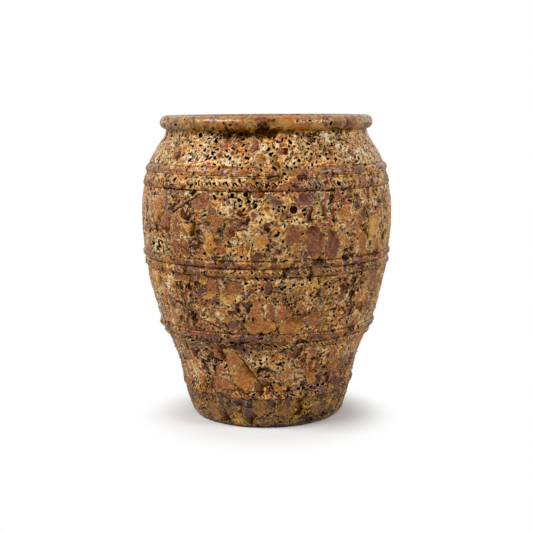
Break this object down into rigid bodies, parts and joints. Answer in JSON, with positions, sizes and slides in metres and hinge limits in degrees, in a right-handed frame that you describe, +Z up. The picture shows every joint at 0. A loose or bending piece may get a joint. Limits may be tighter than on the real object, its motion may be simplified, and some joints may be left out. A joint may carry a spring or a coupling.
{
  "type": "storage jar",
  "caption": "Tall glazed stoneware pithos with a rolled lip, full shoulders, applied tooled bands, a narrow foot and a drain hole, to stand free as a planter or store.",
  "frame": {"origin": "on the ground at the middle of the foot", "axes": "+Z up along the jar's axis, +Y away from the viewer of the picture"},
  "size_m": [0.75, 0.75, 0.9],
  "materials": {
    "crater_glaze": "honey and rust crater glaze",
    "coil_glaze": "brown glaze, thin over the coils",
    "lip_glaze": "smooth amber brown glaze",
    "foot_glaze": "dark brown crater glaze"
  },
  "bodies": {
    "root": {"floor_slab": "foot_glaze", "foot_ring": "foot_glaze", "lower_ring": "crater_glaze", "belly_ring": "crater_glaze", "girdle_ring": "crater_glaze", "hip_ring": "crater_glaze", "shoulder_ring": "crater_glaze", "neck_ring": "crater_glaze", "rolled_lip": "lip_glaze", "shoulder_plain_coil": "coil_glaze", "shoulder_tooled_coil": "coil_glaze", "belly_plain_coil": "coil_glaze", "belly_tooled_coil": "coil_glaze", "lower_plain_coil": "coil_glaze", "lower_tooled_coil": "coil_glaze", "foot_tooled_coil": "coil_glaze"}
  },
  "joints": []
}
